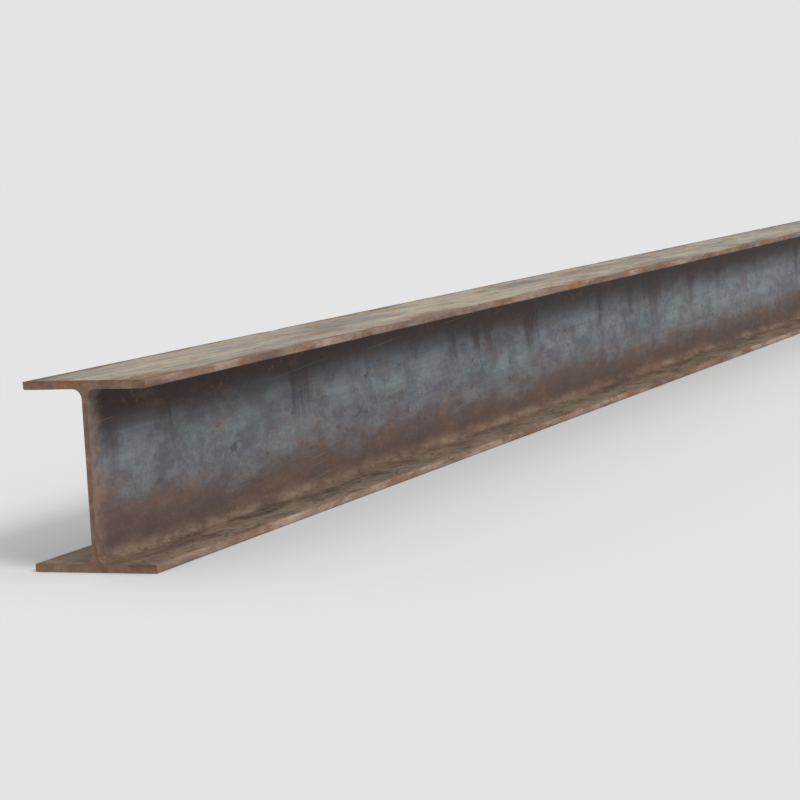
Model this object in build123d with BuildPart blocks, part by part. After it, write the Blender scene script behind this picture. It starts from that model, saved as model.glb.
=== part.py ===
from build123d import *
import os

# Hot-rolled H-beam of the 250 x 175 nominal size, one piece of stock as the mill sells it.
# It lies along X on its bottom flange, with the web upright. The origin is at
# mid-length, under the web, on the underside of the bottom flange.

# Rolled section, in millimetres
section_depth = 244
flange_width = 175
web_thickness = 7
flange_thickness = 11

# Roundings that the rolls leave: the fillet between web and flange, and the two
# corners of each flange toe, of which the one on the outer face is the tighter.
root_radius = 13
outer_toe_radius = 1.5
inner_toe_radius = 2.5

# Distance between the two saw cuts
stock_length = 12000

# Places on the section, measured from its own centre
half_depth = section_depth / 2
half_width = flange_width / 2
half_web = web_thickness / 2
inner_face = half_depth - flange_thickness

# The corners of one side of the section, from the top flange's outer face down to
# the bottom flange's, with the rounding of each. The other side mirrors them.
one_side = [
    (half_width, half_depth, outer_toe_radius),
    (half_width, inner_face, inner_toe_radius),
    (half_web, inner_face, root_radius),
    (half_web, -inner_face, root_radius),
    (half_width, -inner_face, inner_toe_radius),
    (half_width, -half_depth, outer_toe_radius),
]
other_side = [(-across, up, radius) for across, up, radius in reversed(one_side)]
corners = one_side + other_side

# The plane of the first saw cut, facing along the beam and centred at half depth
saw_cut = Plane(
    origin=(-stock_length / 2, 0, half_depth),
    x_dir=(0, 1, 0),
    z_dir=(1, 0, 0),
)

with BuildPart() as h_beam:
    with BuildSketch(saw_cut) as rolled_section:
        with BuildLine() as outline:
            FilletPolyline(
                [(across, up) for across, up, radius in corners],
                radius=[radius for across, up, radius in corners],
                close=True,
            )
        make_face()
    extrude(amount=stock_length)

h_beam.part.label = "h_beam"

os.makedirs("parts", exist_ok=True)
export_step(h_beam.part, "parts/h_beam.step")
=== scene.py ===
import random
from math import cos, exp, radians, sin, tau

import bmesh
import bpy
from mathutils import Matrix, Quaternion, Vector, kdtree


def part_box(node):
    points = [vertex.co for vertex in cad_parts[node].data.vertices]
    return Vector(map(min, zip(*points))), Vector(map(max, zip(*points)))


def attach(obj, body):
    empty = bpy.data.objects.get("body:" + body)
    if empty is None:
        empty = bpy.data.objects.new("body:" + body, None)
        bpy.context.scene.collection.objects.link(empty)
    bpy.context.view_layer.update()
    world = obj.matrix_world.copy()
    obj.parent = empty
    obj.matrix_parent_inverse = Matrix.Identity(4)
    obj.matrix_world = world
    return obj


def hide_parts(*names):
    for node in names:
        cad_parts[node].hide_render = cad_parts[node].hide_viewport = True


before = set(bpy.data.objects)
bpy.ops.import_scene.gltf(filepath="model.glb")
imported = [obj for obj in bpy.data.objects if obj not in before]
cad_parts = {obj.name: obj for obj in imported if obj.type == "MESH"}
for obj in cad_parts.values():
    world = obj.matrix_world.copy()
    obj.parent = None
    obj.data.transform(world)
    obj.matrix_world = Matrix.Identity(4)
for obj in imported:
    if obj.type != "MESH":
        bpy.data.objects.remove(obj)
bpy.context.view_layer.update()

# The beam lies along X on its bottom flange, with its middle over the origin.
beamLow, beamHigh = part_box("h_beam")
length = beamHigh.x - beamLow.x
width = beamHigh.y - beamLow.y
depth = beamHigh.z - beamLow.z
halfLength = length / 2
halfWidth = width / 2
millimetre = 0.001


# Nodes. A feed is either a plain value or the socket that the node takes it from.

def addNode(tree, kind, feeds=None, **settings):
    node = tree.nodes.new("ShaderNode" + kind)
    for name, value in settings.items():
        setattr(node, name, value)
    for name, value in (feeds or {}).items():
        if isinstance(value, bpy.types.NodeSocket):
            tree.links.new(value, node.inputs[name])
        else:
            node.inputs[name].default_value = value
    return node


def calc(tree, operation, *values):
    return addNode(tree, "Math", dict(enumerate(values)), operation=operation).outputs[0]


def limit(tree, value):
    return addNode(tree, "Clamp", {"Value": value}).outputs[0]


def fade(tree, value, start, end, low=0.0, high=1.0):
    feeds = {"Value": value, "From Min": start, "From Max": end, "To Min": low, "To Max": high}
    return addNode(tree, "MapRange", feeds, interpolation_type="SMOOTHSTEP").outputs[0]


def climb(tree, value, edge, softness):
    # From 0 to 1, just past the edge.
    return fade(tree, value, edge, calc(tree, "ADD", edge, softness))


def swing(tree, value, reach, base):
    # Noise swings about a half. This spreads it by reach, about base.
    return calc(tree, "MULTIPLY_ADD", calc(tree, "SUBTRACT", value, 0.5), reach, base)


def noise(tree, place, scale, detail, rough):
    feeds = {"Vector": place, "Scale": scale, "Detail": detail, "Roughness": rough}
    return addNode(tree, "TexNoise", feeds).outputs[0]


def drawOut(tree, place, along):
    # Under 1, a pattern is drawn out along the beam, as rolling does.
    scale = addNode(tree, "CombineXYZ", {"X": along, "Y": 1.0, "Z": 1.0}).outputs[0]
    return addNode(tree, "VectorMath", {0: place, 1: scale}, operation="MULTIPLY").outputs[0]


def blend(tree, amount, first, second):
    return addNode(tree, "Mix", {0: amount, 6: first, 7: second}, data_type="RGBA").outputs[2]


def coat(tree, colour, mask, share, over):
    # Lays another colour over this one where the mask is, never covering more than its share.
    return blend(tree, calc(tree, "MULTIPLY", mask, share), colour, over)


def ramp(tree, value, stops):
    node = addNode(tree, "ValToRGB", {0: value})
    points = node.color_ramp.elements
    while len(points) < len(stops):
        points.new(0.5)
    for point, (position, colour) in zip(points, stops):
        point.position = position
        point.color = colour
    return node.outputs[0]


def tone(red, green, blue):   # a colour as a picture shows it, 0 to 255
    return tuple(((part / 255 + 0.055) / 1.055) ** 2.4 for part in (red, green, blue)) + (1.0,)


def newGroup(name, takes, gives):
    kinds = {1: "NodeSocketFloat", 3: "NodeSocketVector", 4: "NodeSocketColor"}
    tree = bpy.data.node_groups.new(name, "ShaderNodeTree")
    for label, start in takes.items():
        size = len(start) if isinstance(start, tuple) else 1
        socket = tree.interface.new_socket(label, in_out="INPUT", socket_type=kinds[size])
        socket.default_value = start
    for label, size in gives.items():
        tree.interface.new_socket(label, in_out="OUTPUT", socket_type=kinds[size])
    return tree, tree.nodes.new("NodeGroupInput").outputs, tree.nodes.new("NodeGroupOutput").inputs


def useGroup(tree, group, **values):
    feeds = {name[0].upper() + name[1:]: value for name, value in values.items()}
    return addNode(tree, "Group", feeds, node_tree=group).outputs


# Effects that several of the beam's surfaces share. Heights come out in millimetres, and a
# scale is how many of a pattern's marks go in a metre.

rustFilm = {
    "shades": [
        (0.0, tone(61, 48, 45)),
        (0.3, tone(85, 67, 60)),
        (0.55, tone(105, 83, 72)),
        (0.78, tone(127, 102, 85)),
        (1.0, tone(147, 122, 100)),
    ],
    "fresh": tone(146, 98, 66),
    "cloudScale": 22.0,
    "freshScale": 13.0,
    "grainScale": 420.0,
    "filmHeight": 0.05,
    "grainHeight": 0.16,
}


def makeRustGroup():
    # A film of rust: where it lies, its colour and its grain.
    tree, takes, gives = newGroup(
        "rustFilm",
        {"Place": (0.0, 0.0, 0.0), "Along": 1.0, "Cover": 0.5, "Softness": 0.12, "Patch": 10.0,
         "Bright": 0.5, "Orange": 0.3},
        {"Mask": 1, "Colour": 4, "Height": 1})
    drawn = drawOut(tree, takes["Place"], takes["Along"])
    field = swing(tree, noise(tree, drawn, takes["Patch"], detail=11.0, rough=0.78), 3.6, 0.5)
    edge = calc(tree, "SUBTRACT", 1.0, takes["Cover"])
    mask = fade(tree, field, calc(tree, "SUBTRACT", edge, takes["Softness"]),
                calc(tree, "ADD", edge, takes["Softness"]))
    clouds = noise(tree, drawn, rustFilm["cloudScale"], detail=11.0, rough=0.76)
    grain = noise(tree, takes["Place"], rustFilm["grainScale"], detail=4.0, rough=0.75)
    shade = swing(tree, clouds, 3.0, takes["Bright"])
    shade = swing(tree, grain, 0.9, shade)
    colour = ramp(tree, shade, rustFilm["shades"])
    fresh = fade(tree, noise(tree, drawn, rustFilm["freshScale"], detail=10.0, rough=0.76), 0.48, 0.60)
    colour = coat(tree, colour, fresh, takes["Orange"], rustFilm["fresh"])
    height = calc(tree, "MULTIPLY_ADD", grain, rustFilm["grainHeight"], rustFilm["filmHeight"])
    tree.links.new(mask, gives["Mask"])
    tree.links.new(colour, gives["Colour"])
    tree.links.new(calc(tree, "MULTIPLY", height, mask), gives["Height"])
    return tree


millScale = {
    "dark": tone(82, 86, 94),
    "pale": tone(136, 144, 150),
    "tints": [
        (0.36, tone(112, 104, 112)),
        (0.5, tone(108, 112, 118)),
        (0.64, tone(106, 118, 112)),
    ],
    "tintShare": 0.3,
    "cloudScale": 4.5,
    "tintScale": 12.0,
    "patchScale": 24.0,
    "fineScale": 160.0,
    "flakeHeight": 0.25,
    "fineHeight": 0.08,
}


def makeScaleGroup():
    # The blue-grey scale of hot rolling, in clouds and small patches that lie flat.
    tree, takes, gives = newGroup(
        "millScale",
        {"Place": (0.0, 0.0, 0.0), "Along": 0.5, "Dark": millScale["dark"], "Pale": millScale["pale"]},
        {"Colour": 4, "Height": 1})
    drawn = drawOut(tree, takes["Place"], takes["Along"])
    clouds = noise(tree, drawn, millScale["cloudScale"], detail=4.0, rough=0.6)
    patches = noise(tree, drawn, millScale["patchScale"], detail=10.0, rough=0.72)
    fine = noise(tree, takes["Place"], millScale["fineScale"], detail=6.0, rough=0.78)
    shade = swing(tree, clouds, 2.0, 0.5)
    shade = swing(tree, patches, 2.2, shade)
    shade = swing(tree, fine, 1.8, shade)
    thick = fade(tree, patches, 0.515, 0.53, high=0.16)
    thin = fade(tree, patches, 0.45, 0.435, high=0.18)
    flakes = calc(tree, "SUBTRACT", thick, thin)
    shade = calc(tree, "ADD", shade, flakes)
    colour = blend(tree, limit(tree, shade), takes["Dark"], takes["Pale"])
    tints = noise(tree, drawn, millScale["tintScale"], detail=3.0, rough=0.5)
    colour = blend(tree, millScale["tintShare"], colour, ramp(tree, tints, millScale["tints"]))
    height = calc(tree, "MULTIPLY", flakes, millScale["flakeHeight"])
    height = calc(tree, "MULTIPLY_ADD", fine, millScale["fineHeight"], height)
    tree.links.new(colour, gives["Colour"])
    tree.links.new(height, gives["Height"])
    return tree


def makeLinesGroup():
    # Long faint lines that the rolls leave, running the length of the beam.
    tree, takes, gives = newGroup(
        "rollingLines", {"Place": (0.0, 0.0, 0.0), "Spacing": 90.0}, {"Lines": 1})
    drawn = drawOut(tree, takes["Place"], 0.008)
    tree.links.new(noise(tree, drawn, takes["Spacing"], detail=4.0, rough=0.7), gives["Lines"])
    return tree


def makeRunsGroup():
    # Stains where water ran down the web, a little aslant.
    tree, takes, gives = newGroup(
        "waterRuns", {"Place": (0.0, 0.0, 0.0), "Often": 0.5, "Slant": 0.15}, {"Mask": 1})
    parts = addNode(tree, "SeparateXYZ", {0: takes["Place"]}).outputs
    wander = noise(tree, takes["Place"], 5.0, detail=4.0, rough=0.6)
    lean = calc(tree, "MULTIPLY_ADD", parts["Z"], takes["Slant"], parts["X"])
    lean = calc(tree, "MULTIPLY_ADD", wander, 0.07, lean)
    drop = calc(tree, "MULTIPLY", parts["Z"], 0.07)   # draws them out downwards
    tall = addNode(tree, "CombineXYZ", {"X": lean, "Z": drop}).outputs[0]
    wide = noise(tree, tall, 8.0, detail=3.0, rough=0.58)
    narrow = noise(tree, tall, 150.0, detail=4.0, rough=0.7)
    edge = calc(tree, "MULTIPLY_ADD", takes["Often"], -0.16, 0.58)
    strands = fade(tree, narrow, 0.38, 0.62, low=0.4)
    mask = calc(tree, "MULTIPLY", climb(tree, wide, edge, 0.14), strands)
    tree.links.new(mask, gives["Mask"])
    return tree


def makeSpecksGroup():
    # Small dark specks of thicker scale, gathered in clusters.
    tree, takes, gives = newGroup(
        "scaleSpecks",
        {"Place": (0.0, 0.0, 0.0), "Along": 0.5, "Scale": 52.0, "Often": 0.5},
        {"Mask": 1})
    drawn = drawOut(tree, takes["Place"], takes["Along"])
    spots = noise(tree, drawn, takes["Scale"], detail=4.0, rough=0.55)
    clusters = noise(tree, drawn, 8.0, detail=4.0, rough=0.6)
    edge = calc(tree, "MULTIPLY_ADD", takes["Often"], -0.12, 0.72)
    edge = swing(tree, clusters, -0.35, edge)
    tree.links.new(climb(tree, spots, edge, 0.025), gives["Mask"])
    return tree


def makeScuffsGroup():
    # Thin scuffs from chains and forks, each some way along the beam.
    tree, takes, gives = newGroup(
        "scuffs", {"Place": (0.0, 0.0, 0.0), "Turn": 0.1, "Often": 0.5}, {"Mask": 1})
    turned = addNode(tree, "VectorRotate", {"Vector": takes["Place"], "Angle": takes["Turn"]},
                     rotation_type="Y_AXIS").outputs[0]
    lines = noise(tree, drawOut(tree, turned, 0.012), 260.0, detail=2.0, rough=0.5)
    where = noise(tree, takes["Place"], 3.5, detail=3.0, rough=0.6)
    edge = calc(tree, "MULTIPLY_ADD", takes["Often"], -0.1, 0.74)
    edge = swing(tree, where, -0.3, edge)
    tree.links.new(climb(tree, lines, edge, 0.04), gives["Mask"])
    return tree


effects = {
    "scuffs": makeScuffsGroup(),
    "rust": makeRustGroup(),
    "scale": makeScaleGroup(),
    "lines": makeLinesGroup(),
    "runs": makeRunsGroup(),
    "specks": makeSpecksGroup(),
}
print("shared effects:", ", ".join(effects))


# What the beam's four finishes have in common.
bareSteel = {
    "specular": 0.15,        # scale and rust hardly shine
    "rustRoughness": 0.88,
    "lineHeight": 0.1,       # mm
}


def startMaterial(name):
    material = bpy.data.materials.new(name)
    material.use_nodes = True
    tree = material.node_tree
    return material, tree, addNode(tree, "TexCoord").outputs["Object"]


def finishMaterial(tree, colour, rusty, smooth, height):
    # smooth is the roughness where there is no rust.
    roughness = fade(tree, rusty, 0.0, 1.0, smooth, bareSteel["rustRoughness"])
    bump = addNode(tree, "Bump", {"Height": height, "Distance": millimetre, "Strength": 1.0})
    shader = tree.nodes["Principled BSDF"]
    shader.inputs["Specular IOR Level"].default_value = bareSteel["specular"]
    tree.links.new(colour, shader.inputs["Base Color"])
    tree.links.new(roughness, shader.inputs["Roughness"])
    tree.links.new(bump.outputs[0], shader.inputs["Normal"])


def rolledHeight(tree, scale, rust, lines):
    height = calc(tree, "ADD", scale["Height"], rust["Height"])
    return calc(tree, "MULTIPLY_ADD", lines, bareSteel["lineHeight"], height)


def splitPlace(tree, place):
    parts = addNode(tree, "SeparateXYZ", {0: place}).outputs
    fromCut = calc(tree, "SUBTRACT", halfLength, calc(tree, "ABSOLUTE", parts["X"]))
    return parts, fromCut


# The web and the inner faces of the flanges. Each From and Full is where a band begins and
# where it is strongest, in metres above the floor, or from the saw cut.
channel = {
    # the dark band under the top flange is painted shade, partly darker scale
    "paintedShadeFrom": 0.140,       # under the top flange
    "paintedShadeFull": 0.218,
    # the root fillet under the top flange gets the darkest painted shade, with a rust-brown tint
    "rootFrom": 0.172,       # its brownest part, at the root fillet
    "rootFull": 0.212,
    "rustFrom": 0.106,
    "rustFull": 0.022,
    "tintFrom": 0.126,       # a thin brown tint that reaches higher
    "tintFull": 0.042,
    "ledgeFrom": 0.035,      # dust on the lower flange
    "ledgeFull": 0.011,
    "cutFrom": 0.034,
    "cutFull": 0.014,
    "drift": 0.036,          # m, how far the bands rise and fall along the web
    "ragged": 0.03,
    "endRise": 0.035,        # m, how much higher the rust stands by a cut
    "endReach": 0.30,
    "sideShift": 9.0,        # m, moves the patterns of one side away from the other's
    "line": tone(90, 92, 97),
    # the painted shade under the top flange, blue and brown; the brown also colours the water runs
    "paintedShadeBlue": tone(55, 51, 55),
    "runStainAndShadeBrown": tone(62, 46, 43),
    "rootShadeAndRust": tone(54, 34, 31),
    "cutTan": tone(134, 115, 103),
    "ledgeTan": tone(154, 138, 119),
    "speck": tone(66, 71, 76),
    "freckle": tone(104, 82, 70),
    "tint": tone(97, 80, 75),
    "crumb": tone(72, 62, 58),
    "scuff": tone(140, 132, 126),
    "lineShare": 0.4,        # how much each colour covers at most
    "speckShare": 0.65,
    "runShare": 0.32,
    "paintedShadeShare": 0.95,
    "rootShare": 0.9,
    "rustShare": 0.86,
    "tintShare": 0.5,
    "freckleShare": 0.55,
    "scuffShare": 0.26,
    "crumbShare": 0.55,
    "cutShare": 0.8,
    "smooth": 0.52,
}


def channelSteel():
    material, tree, place = startMaterial("channelSteel")
    parts, fromCut = splitPlace(tree, place)
    fromWeb = calc(tree, "ABSOLUTE", parts["Y"])
    side = calc(tree, "MULTIPLY", calc(tree, "SIGN", parts["Y"]), channel["sideShift"])
    shift = addNode(tree, "CombineXYZ", {"X": side}).outputs[0]
    spot = addNode(tree, "VectorMath", {0: place, 1: shift}, operation="ADD").outputs[0]
    drift = noise(tree, drawOut(tree, spot, 0.5), 3.0, detail=3.0, rough=0.6)
    ragged = noise(tree, drawOut(tree, spot, 0.25), 20.0, detail=6.0, rough=0.65)
    height = swing(tree, drift, channel["drift"], parts["Z"])
    height = swing(tree, ragged, channel["ragged"], height)

    scale = useGroup(tree, effects["scale"], place=spot)
    lines = useGroup(tree, effects["lines"], place=spot, spacing=110.0)["Lines"]
    drawnLines = fade(tree, lines, 0.35, 0.7, high=channel["lineShare"])
    colour = blend(tree, drawnLines, scale["Colour"], channel["line"])
    runs = useGroup(tree, effects["runs"], place=spot, often=0.4)["Mask"]
    specks = useGroup(tree, effects["specks"], place=spot, often=0.5)["Mask"]
    colour = coat(tree, colour, specks, channel["speckShare"], channel["speck"])
    colour = coat(tree, colour, runs, channel["runShare"], channel["runStainAndShadeBrown"])

    # The dark band under the top flange is painted shade, partly darker scale, in blue and brown. It
    # stays by the web: the underside of the flange is paler again.
    paintedShadeTone = blend(tree, fade(tree, drift, 0.44, 0.56), channel["paintedShadeBlue"], channel["runStainAndShadeBrown"])
    fromRun = calc(tree, "MULTIPLY_ADD", runs, 0.04, height)
    dark = fade(tree, fromRun, channel["paintedShadeFrom"], channel["paintedShadeFull"], high=channel["paintedShadeShare"])
    colour = coat(tree, colour, dark, fade(tree, fromWeb, 0.045, 0.015, low=0.5), paintedShadeTone)
    # Painted shade in the root fillet under the top flange, with a rust-brown tint.
    root = fade(tree, height, channel["rootFrom"], channel["rootFull"], high=channel["rootShare"])
    colour = coat(tree, colour, root, fade(tree, fromWeb, 0.03, 0.012), channel["rootShadeAndRust"])

    # Rust on the lower web, fresher by the cuts, and over it the tint.
    endRise = fade(tree, fromCut, channel["endReach"], 0.0, high=channel["endRise"])
    low = calc(tree, "SUBTRACT", height, endRise)
    cover = fade(tree, low, channel["rustFrom"], channel["rustFull"])
    byCut = fade(tree, fromCut, 0.22, 0.0, low=0.3, high=0.85)
    rust = useGroup(tree, effects["rust"], place=spot, along=0.35, patch=22.0,
                    cover=cover, softness=0.58, bright=0.42, orange=byCut)
    colour = coat(tree, colour, rust["Mask"], channel["rustShare"], rust["Colour"])
    tint = fade(tree, low, channel["tintFrom"], channel["tintFull"], high=channel["tintShare"])
    colour = blend(tree, tint, colour, channel["tint"])

    # It also breaks through the scale in freckles, more of them low down.
    often = fade(tree, low, 0.18, 0.06, low=0.25, high=0.8)
    freckles = useGroup(tree, effects["specks"], place=spot, along=0.7, scale=90.0,
                        often=often)["Mask"]
    colour = coat(tree, colour, freckles, channel["freckleShare"], channel["freckle"])
    scuffs = useGroup(tree, effects["scuffs"], place=spot, turn=0.06, often=0.5)["Mask"]
    colour = coat(tree, colour, scuffs, channel["scuffShare"], channel["scuff"])

    # Dust lies on the lower flange, most of it towards the toe, with crumbs of loose scale.
    ledge = fade(tree, parts["Z"], channel["ledgeFrom"], channel["ledgeFull"])
    dust = noise(tree, drawOut(tree, spot, 0.3), 34.0, detail=9.0, rough=0.74)
    dust = calc(tree, "ADD", dust, fade(tree, fromWeb, 0.012, 0.07, low=-0.06, high=0.05))
    dust = fade(tree, dust, 0.36, 0.64, low=0.15, high=0.85)
    dusty = blend(tree, dust, rust["Colour"], channel["ledgeTan"])
    crumbs = useGroup(tree, effects["specks"], place=spot, along=0.9, scale=120.0, often=1.0)["Mask"]
    lying = fade(tree, parts["Z"], 0.02, 0.012, high=channel["crumbShare"])   # on the flat only
    dusty = coat(tree, dusty, crumbs, lying, channel["crumb"])
    colour = blend(tree, ledge, colour, dusty)

    # A rusty band, ragged on its inner side, runs round each saw cut.
    grain = noise(tree, spot, 70.0, detail=6.0, rough=0.7)
    wavy = swing(tree, ragged, 0.08, fromCut)
    wavy = swing(tree, grain, 0.05, wavy)
    band = fade(tree, wavy, channel["cutFrom"], channel["cutFull"], high=channel["cutShare"])
    spotted = fade(tree, grain, 0.35, 0.65, low=0.7, high=0.05)
    tan = blend(tree, spotted, channel["cutTan"], rust["Colour"])
    colour = blend(tree, band, colour, tan)

    rusty = calc(tree, "MAXIMUM", rust["Mask"], ledge)
    finishMaterial(tree, colour, rusty, channel["smooth"], rolledHeight(tree, scale, rust, lines))
    return material


# The top of the upper flange and the underside of the lower one.
outer = {
    "tan": tone(154, 140, 123),
    "cream": tone(190, 178, 155),
    "dark": tone(110, 98, 88),
    "scaleDark": tone(84, 88, 93),
    "scalePale": tone(134, 136, 135),
    "edgeFrom": 0.008,       # m from the toe, where its rust begins
    "edgeFull": 0.002,
    "bareShare": 0.75,
    "lineShare": 0.5,
    "speckShare": 0.5,
    "edgeShare": 0.8,
    "scuffShare": 0.4,
    "smooth": 0.62,
}


def outerSteel():
    material, tree, place = startMaterial("outerFlangeSteel")
    parts, fromCut = splitPlace(tree, place)
    fromToe = calc(tree, "SUBTRACT", halfWidth, calc(tree, "ABSOLUTE", parts["Y"]))
    streaks = noise(tree, drawOut(tree, place, 0.1), 26.0, detail=8.0, rough=0.68)
    patches = noise(tree, drawOut(tree, place, 0.15), 11.0, detail=11.0, rough=0.72)
    grain = noise(tree, drawOut(tree, place, 0.4), 110.0, detail=5.0, rough=0.7)
    shade = swing(tree, grain, 1.4, swing(tree, streaks, 2.6, 0.45))
    colour = blend(tree, limit(tree, shade), outer["tan"], outer["cream"])

    # Scale shows bare in long patches.
    scale = useGroup(tree, effects["scale"], place=place, along=0.3,
                     dark=outer["scaleDark"], pale=outer["scalePale"])
    mixed = swing(tree, grain, 0.25, swing(tree, streaks, 0.6, patches))
    bare = fade(tree, mixed, 0.51, 0.6, high=outer["bareShare"])
    colour = blend(tree, bare, colour, scale["Colour"])
    lines = useGroup(tree, effects["lines"], place=place, spacing=150.0)["Lines"]
    drawnLines = fade(tree, lines, 0.42, 0.72, high=outer["lineShare"])
    colour = blend(tree, drawnLines, colour, outer["dark"])
    specks = useGroup(tree, effects["specks"], place=place, along=0.4, scale=75.0,
                      often=0.5)["Mask"]
    colour = coat(tree, colour, specks, outer["speckShare"], outer["dark"])

    # Rust comes in from the toes and the cuts.
    cover = fade(tree, fromToe, 0.03, 0.0, low=0.2, high=0.6)
    cover = calc(tree, "ADD", cover, fade(tree, fromCut, 0.12, 0.0, high=0.3))
    rust = useGroup(tree, effects["rust"], place=place, along=0.22, cover=cover, softness=0.32,
                    patch=22.0, bright=0.55)
    colour = blend(tree, rust["Mask"], colour, rust["Colour"])
    wavy = swing(tree, grain, 0.008, fromToe)
    edge = fade(tree, wavy, outer["edgeFrom"], outer["edgeFull"], high=outer["edgeShare"])
    colour = blend(tree, edge, colour, rust["Colour"])
    scuffs = useGroup(tree, effects["scuffs"], place=place, turn=0.0, often=0.6)["Mask"]
    colour = coat(tree, colour, scuffs, outer["scuffShare"], outer["dark"])
    finishMaterial(tree, colour, rust["Mask"], outer["smooth"], rolledHeight(tree, scale, rust, lines))
    return material


toe = {
    "shades": [
        (0.32, tone(104, 87, 78)),
        (0.5, tone(146, 124, 110)),
        (0.68, tone(180, 159, 142)),
    ],
    "smooth": 0.6,
}


def toeSteel():
    material, tree, place = startMaterial("toeSteel")
    streaks = noise(tree, drawOut(tree, place, 0.2), 30.0, detail=7.0, rough=0.65)
    rust = useGroup(tree, effects["rust"], place=place, along=0.3, patch=26.0,
                    cover=0.4, softness=0.4, bright=0.55, orange=0.7)
    colour = blend(tree, rust["Mask"], ramp(tree, streaks, toe["shades"]), rust["Colour"])
    finishMaterial(tree, colour, rust["Mask"], toe["smooth"], rust["Height"])
    return material


saw = {
    "centre": (0.0, -0.42, -0.72),   # m, where the saw blade turned, seen on the end
    "marksPerMetre": 400.0,
    "waver": 9.0,
    "markHeight": 0.07,      # mm
    "bare": tone(146, 118, 100),
    "worn": tone(114, 88, 75),
    "mark": tone(88, 68, 58),
    "rustShare": 0.85,
    "markShare": 0.3,
    "smooth": 0.5,
}


def sawnSteel():
    material, tree, place = startMaterial("sawnSteel")
    # The marks are rings about the saw's centre, strong in some places and worn off in others.
    flat = addNode(tree, "Mapping", {"Vector": place, "Scale": (0.0, 1.0, 1.0)}).outputs[0]
    reach = addNode(tree, "VectorMath", {0: flat, 1: saw["centre"]}, operation="DISTANCE")
    waver = calc(tree, "MULTIPLY", noise(tree, place, 40.0, detail=3.0, rough=0.5), saw["waver"])
    turn = calc(tree, "MULTIPLY_ADD", reach.outputs["Value"], saw["marksPerMetre"] * tau, waver)
    kept = fade(tree, noise(tree, place, 18.0, detail=4.0, rough=0.6), 0.4, 0.6)
    marks = calc(tree, "MULTIPLY", fade(tree, calc(tree, "SINE", turn), -1.0, 1.0), kept)

    patches = noise(tree, place, 26.0, detail=7.0, rough=0.65)
    colour = blend(tree, fade(tree, patches, 0.36, 0.62), saw["worn"], saw["bare"])
    rust = useGroup(tree, effects["rust"], place=place, cover=0.48, softness=0.25, patch=22.0,
                    bright=0.6, orange=0.9)
    colour = coat(tree, colour, rust["Mask"], saw["rustShare"], rust["Colour"])
    colour = coat(tree, colour, marks, saw["markShare"], saw["mark"])
    height = calc(tree, "MULTIPLY_ADD", marks, saw["markHeight"], rust["Height"])
    finishMaterial(tree, colour, rust["Mask"], saw["smooth"], height)
    return material


# The beam's finishes, in the order of its material slots.
finishes = {"channel": channelSteel, "outer": outerSteel, "toe": toeSteel, "sawn": sawnSteel}
slots = {name: index for index, name in enumerate(finishes)}


# Picking faces and edges by where they are.

def pick(kind, test):
    bpy.ops.mesh.select_mode(type={"faces": "FACE", "edges": "EDGE"}[kind])
    bpy.ops.mesh.select_all(action="DESELECT")
    mesh = bmesh.from_edit_mesh(bpy.context.object.data)
    for part in getattr(mesh, kind):
        if test(part):
            part.select_set(True)
    mesh.select_flush_mode()
    bmesh.update_edit_mesh(bpy.context.object.data)


def middle(part):
    return sum((corner.co for corner in part.verts), Vector()) / len(part.verts)


def same(first, second):
    return abs(first - second) < 1e-5


def step(edge):
    return edge.verts[1].co - edge.verts[0].co


def span(edge):
    return step(edge).length


def runsAlong(edge, axis):
    return abs(getattr(step(edge), axis)) > 0.99 * span(edge)


def looksAlong(face, axis, way):
    return getattr(face.normal, axis) * way > 0.9


# The beam's measures, in metres.
beam = {
    "web": 0.007,
    "flange": 0.011,
    "rootRadius": 0.013,
    "outerToe": 0.0015,
    "innerToe": 0.0025,
    "rootSteps": 5,
    "toeSteps": 3,
    "webCuts": 5,
    "flangeCuts": 2,
    "bays": 40,
    "endBays": 4,            # at each end, where the cuts lie closer together
    "endCuts": 49,
    "midCuts": 14,
    "burrWidth": 0.0009,
    "burrHeight": 0.0004,
    "sagWave": 1.4,          # how long the flanges' gentle waves are
    "sag": 0.0009,
    "toeZone": 0.004,        # how far in from a toe it wanders and gets knocked
    "edgeWave": 0.09,
    "edgeDepth": 0.0005,
    "knocks": 96,
    "knockDepth": 0.001,
    "knockSizes": (0.006, 0.024),
    "knockForces": (0.3, 1.0),
    "knockReach": 0.05,
    "seed": 7,
}

halfWeb = beam["web"] / 2
innerFaces = (beam["flange"], depth - beam["flange"])
outerFaces = (0.0, depth)


def isOuterFace(face):
    upright = looksAlong(face, "z", 1) or looksAlong(face, "z", -1)
    return upright and any(same(middle(face).z, z) for z in outerFaces)


def isToe(face):
    return abs(middle(face).y) > halfWidth - beam["innerToe"]


def isEnd(face):
    return looksAlong(face, "x", 1) or looksAlong(face, "x", -1)


def extrude(across, up):
    bpy.ops.mesh.extrude_region_move(TRANSFORM_OT_translate={"value": (0, across, up)})


def blockOutBeam():
    bpy.ops.object.select_all(action="DESELECT")
    bpy.ops.mesh.primitive_cube_add(size=1, location=(0, 0, depth / 2))
    steel = bpy.context.object
    steel.name = "rolledBeam"
    steel.scale = (length, beam["web"], depth - 2 * beam["flange"])
    bpy.ops.object.transform_apply(location=True, rotation=False, scale=True)
    bpy.ops.object.mode_set(mode="EDIT")
    for side in (1, -1):   # the top flange, then the bottom one
        webEnd = depth / 2 + side * (depth / 2 - beam["flange"])
        pick("faces", lambda face: looksAlong(face, "z", side) and same(middle(face).z, webEnd))
        extrude(0, side * beam["flange"])
        level = depth / 2 + side * (depth - beam["flange"]) / 2
        for way in (1, -1):
            pick("faces", lambda face: looksAlong(face, "y", way) and same(middle(face).z, level))
            extrude(way * (halfWidth - halfWeb), 0)
    return steel


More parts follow.
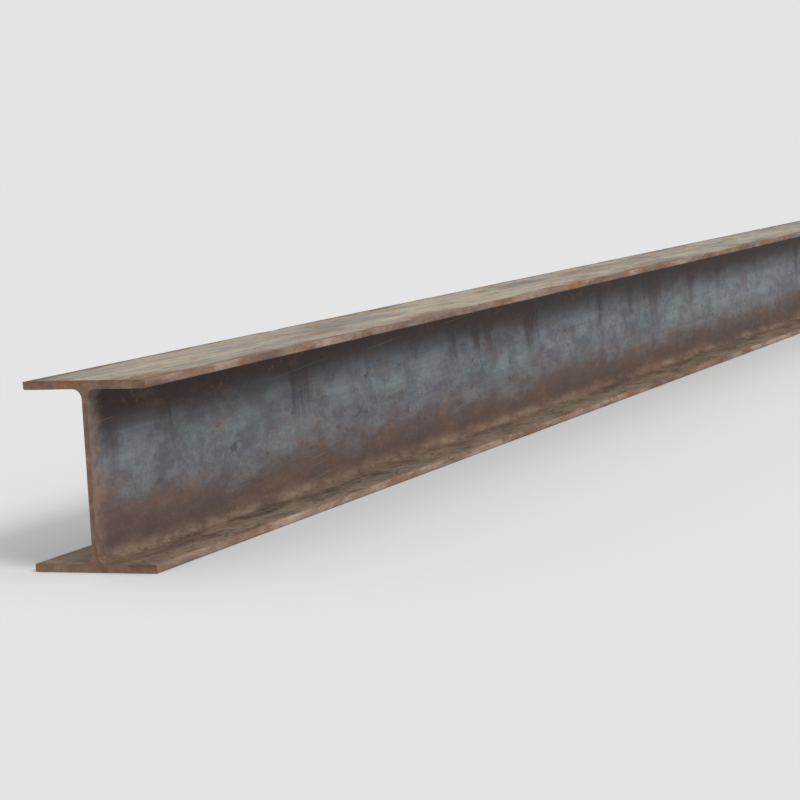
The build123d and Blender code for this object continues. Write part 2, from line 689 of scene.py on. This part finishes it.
def roundEdges(y, levels, radius, steps):
    pick("edges", lambda edge: runsAlong(edge, "x") and same(abs(edge.verts[0].co.y), y)
         and any(same(edge.verts[0].co.z, z) for z in levels))
    bpy.ops.mesh.bevel(offset=radius, segments=steps, affect="EDGES")


def trimSawnEnds():
    for side in (1, -1):
        pick("faces", lambda face: looksAlong(face, "x", side))
        bpy.ops.mesh.dissolve_faces()
        bpy.ops.mesh.inset(thickness=beam["burrWidth"])   # the rim is the saw's burr
        bpy.ops.transform.translate(value=(-side * beam["burrHeight"], 0, 0))


def paintFaces(test, finish):
    pick("faces", test)
    bpy.context.object.active_material_index = slots[finish]
    bpy.ops.object.material_slot_assign()


def cutAcross():
    def isWebSide(edge):
        return runsAlong(edge, "z") and same(abs(edge.verts[0].co.y), halfWeb) and span(edge) > depth / 3

    def isFlangeSide(edge):
        return (runsAlong(edge, "y") and same(abs(edge.verts[0].co.x), halfLength)
                and span(edge) > width / 3)

    pick("edges", isWebSide)
    bpy.ops.mesh.subdivide(number_cuts=beam["webCuts"])
    pick("edges", isFlangeSide)
    bpy.ops.mesh.subdivide(number_cuts=beam["flangeCuts"])


def cutAlong():
    bay = length / beam["bays"]
    endZone = halfLength - beam["endBays"] * bay

    def isBay(edge):
        return runsAlong(edge, "x") and span(edge) > bay / 2

    pick("edges", lambda edge: runsAlong(edge, "x") and span(edge) > bay)
    bpy.ops.mesh.subdivide(number_cuts=beam["bays"] - 1)
    pick("edges", lambda edge: isBay(edge) and abs(middle(edge).x) > endZone)
    bpy.ops.mesh.subdivide(number_cuts=beam["endCuts"])
    pick("edges", isBay)
    bpy.ops.mesh.subdivide(number_cuts=beam["midCuts"])


# The baked model's map: the skin unrolled, cut into lengths that lie one above the other,
# with the two sawn ends in a strip of their own.
unroll = {
    "name": "OFBake",
    "lengths": 2,
    "endStrip": 0.10,
    "gap": 0.004,
    "endPlaces": (0.02, 0.52),
    "endSpan": 0.42,
}


def outlineRing(mesh):
    # The section's corners in order, from the row at mid-length.
    row = {corner for corner in mesh.verts if same(corner.co.x, 0)}
    ring = [min(row, key=lambda corner: (round(corner.co.z, 5), corner.co.y))]
    while True:
        ahead = [edge.other_vert(ring[-1]) for edge in ring[-1].link_edges]
        ahead = [corner for corner in ahead if corner in row and corner not in ring[-2:] + ring[:1]]
        if not ahead:
            return ring
        ring.append(max(ahead, key=lambda corner: corner.co.y) if len(ring) == 1 else ahead[0])


def layOutSkin(steel):
    mesh = bmesh.new()
    mesh.from_mesh(steel.data)
    layer = mesh.loops.layers.uv.new(unroll["name"])
    ring = outlineRing(mesh)
    finder = kdtree.KDTree(len(ring))
    around = [0.0]
    for index, corner in enumerate(ring):
        finder.insert((0, corner.co.y, corner.co.z), index)
        around.append(around[-1] + (ring[(index + 1) % len(ring)].co - corner.co).length)
    finder.balance()
    high = (1 - unroll["endStrip"]) / unroll["lengths"]
    lengthSpan = length / unroll["lengths"]
    gap = unroll["gap"]
    for face in mesh.faces:
        center = middle(face)
        if face.material_index == slots["sawn"]:
            left = unroll["endPlaces"][center.x > 0]
            for loop in face.loops:
                at = loop.vert.co
                across = gap + (at.y / width + 0.5) * (unroll["endStrip"] - 2 * gap)
                loop[layer].uv = (left + at.z / depth * unroll["endSpan"], 1 - across)
            continue
        part = min(int((center.x + halfLength) / lengthSpan), unroll["lengths"] - 1)
        places = [finder.find((0, loop.vert.co.y, loop.vert.co.z))[1] for loop in face.loops]
        lastFace = max(places) - min(places) > 1
        for loop, place in zip(face.loops, places):
            along = (loop.vert.co.x + halfLength) / lengthSpan - part
            up = around[len(ring) if lastFace and place == 0 else place] / around[-1]
            loop[layer].uv = (gap + along * (1 - 2 * gap), part * high + gap + up * (high - 2 * gap))
    mesh.to_mesh(steel.data)
    mesh.free()


def push(steel, name, weightAt, strength, direction, grain=None):
    group = steel.vertex_groups.new(name=name)
    for vertex in steel.data.vertices:
        weight = weightAt(vertex.co)
        if weight > 0.01:   # the rest stays put
            group.add([vertex.index], weight, "REPLACE")
    change = steel.modifiers.new(name, "DISPLACE")
    change.vertex_group = name
    change.strength = strength
    change.direction = direction
    change.mid_level = 0.0
    if grain:
        change.texture = bpy.data.textures.new(name, "CLOUDS")
        change.texture.noise_scale = grain
        change.texture_coords = "LOCAL"
    bpy.ops.object.modifier_apply(modifier=name)


def topSide(point):
    return abs(point.y) / halfWidth * (point.z > depth / 2)


def bottomSide(point):
    return abs(point.y) / halfWidth * (point.z < depth / 2)


def toeSide(point):
    return float(abs(point.y) > halfWidth - beam["toeZone"])


def knockWeights():
    chance = random.Random(beam["seed"])
    knocks = []
    for _ in range(beam["knocks"]):
        knocks.append((
            chance.uniform(-halfLength, halfLength),
            chance.choice((-1, 1)),
            chance.choice(innerFaces + outerFaces),
            chance.uniform(*beam["knockSizes"]),
            chance.uniform(*beam["knockForces"]),
        ))

    def weightAt(point):
        if not toeSide(point):
            return 0
        return max((force * exp(-((point.x - x) ** 2 + (point.z - z) ** 2) / size ** 2)
                    for x, side, z, size, force in knocks
                    if side * point.y > 0 and abs(point.x - x) < beam["knockReach"]), default=0)
    return weightAt


def makeBeam():
    steel = blockOutBeam()
    roundEdges(halfWeb, innerFaces, beam["rootRadius"], beam["rootSteps"])
    roundEdges(halfWidth, outerFaces, beam["outerToe"], beam["toeSteps"])
    roundEdges(halfWidth, innerFaces, beam["innerToe"], beam["toeSteps"])
    for makeFinish in finishes.values():
        steel.data.materials.append(makeFinish())
    print("beam rolled, with", len(finishes), "finishes")
    trimSawnEnds()
    cutAcross()
    paintFaces(isOuterFace, "outer")
    paintFaces(isToe, "toe")
    paintFaces(isEnd, "sawn")
    cutAlong()
    bpy.ops.object.mode_set(mode="OBJECT")
    print("beam cut:", len(steel.data.polygons), "faces")
    layOutSkin(steel)
    # The flanges wave a little, the toes wander, and handling has knocked them.
    push(steel, "topWave", topSide, -beam["sag"], "Z", beam["sagWave"])
    push(steel, "bottomWave", bottomSide, beam["sag"], "Z", beam["sagWave"])
    push(steel, "toes", toeSide, -beam["edgeDepth"], "NORMAL", beam["edgeWave"])
    push(steel, "knocks", knockWeights(), -beam["knockDepth"], "NORMAL")
    bpy.ops.object.shade_smooth_by_angle(angle=radians(35))
    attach(steel, "root")
    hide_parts("h_beam")
    print("beam shaped")


# The camera stands where the photograph was taken from, measured from the beam's near end,
# with the same roll. Its longer lens is turned so that the beam fills the frame.
camera = {
    "lens": 115.0,
    "sensor": 36.0,
    "farLimit": 500.0,       # m, well past the floor
    "backFromEnd": 2.77,     # m, along the beam
    "besideWeb": 1.61,       # m, on the -Y side
    "height": 0.52,          # m above the floor
    "turn": radians(23.1),   # between the view and the beam
    "pitch": radians(-5.8),
    "roll": radians(-3.2),
}


def addCamera():
    data = bpy.data.cameras.new("photoCamera")
    data.lens = camera["lens"]
    data.sensor_width = camera["sensor"]
    data.clip_end = camera["farLimit"]
    viewer = bpy.data.objects.new("photoCamera", data)
    bpy.context.scene.collection.objects.link(viewer)
    viewer.location = (beamLow.x - camera["backFromEnd"], -camera["besideWeb"], camera["height"])
    ahead = Vector((
        cos(camera["turn"]) * cos(camera["pitch"]),
        sin(camera["turn"]) * cos(camera["pitch"]),
        sin(camera["pitch"]),
    ))
    level = ahead.to_track_quat("-Z", "Y")
    viewer.rotation_mode = "QUATERNION"
    viewer.rotation_quaternion = level @ Quaternion((0, 0, 1), camera["roll"])
    bpy.context.scene.camera = viewer


studio = {
    "floorSize": 400,
    "floorTone": 0.8,
    "sky": 0.62,
    "backdrop": 0.78,        # as bright as the lit floor, so that no horizon shows
    "suns": {
        "key": {"strength": 1.45, "angle": radians(22), "heading": (0.35, 0.95, -0.85)},
        "fill": {"strength": 0.35, "angle": radians(60), "heading": (-0.5, -0.8, -0.6)},
    },
}


def addFloor():
    bpy.ops.object.select_all(action="DESELECT")
    bpy.ops.mesh.primitive_plane_add(size=studio["floorSize"])
    floor = bpy.context.object
    floor.name = "studioFloor"
    material = bpy.data.materials.new("paleFloor")
    material.use_nodes = True
    shader = material.node_tree.nodes["Principled BSDF"]
    grey = studio["floorTone"]
    shader.inputs["Base Color"].default_value = (grey, grey, grey, 1)
    shader.inputs["Roughness"].default_value = 1.0
    shader.inputs["Specular IOR Level"].default_value = 0.0
    floor.data.materials.append(material)


def addSun(name, strength, angle, heading):
    data = bpy.data.lights.new(name, "SUN")
    data.energy = strength
    data.angle = angle
    sun = bpy.data.objects.new(name, data)
    bpy.context.scene.collection.objects.link(sun)
    sun.rotation_mode = "QUATERNION"
    sun.rotation_quaternion = Vector(heading).to_track_quat("-Z", "Y")


def addLights():
    world = bpy.data.worlds.new("studio")
    bpy.context.scene.world = world
    world.use_nodes = True
    tree = world.node_tree
    background = tree.nodes["Background"]
    background.inputs["Color"].default_value = (1, 1, 1, 1)
    rays = addNode(tree, "LightPath").outputs
    seen = calc(tree, "MAXIMUM", rays["Is Camera Ray"], rays["Is Glossy Ray"])
    seen = calc(tree, "MAXIMUM", seen, rays["Is Transmission Ray"])
    strength = calc(tree, "MULTIPLY_ADD", seen, studio["backdrop"] - studio["sky"], studio["sky"])
    tree.links.new(strength, background.inputs["Strength"])
    for name, sun in studio["suns"].items():
        addSun(name, **sun)


bpy.context.scene.view_settings.view_transform = "Standard"
addCamera()
addFloor()
addLights()
print("camera, floor and lights in place")
makeBeam()
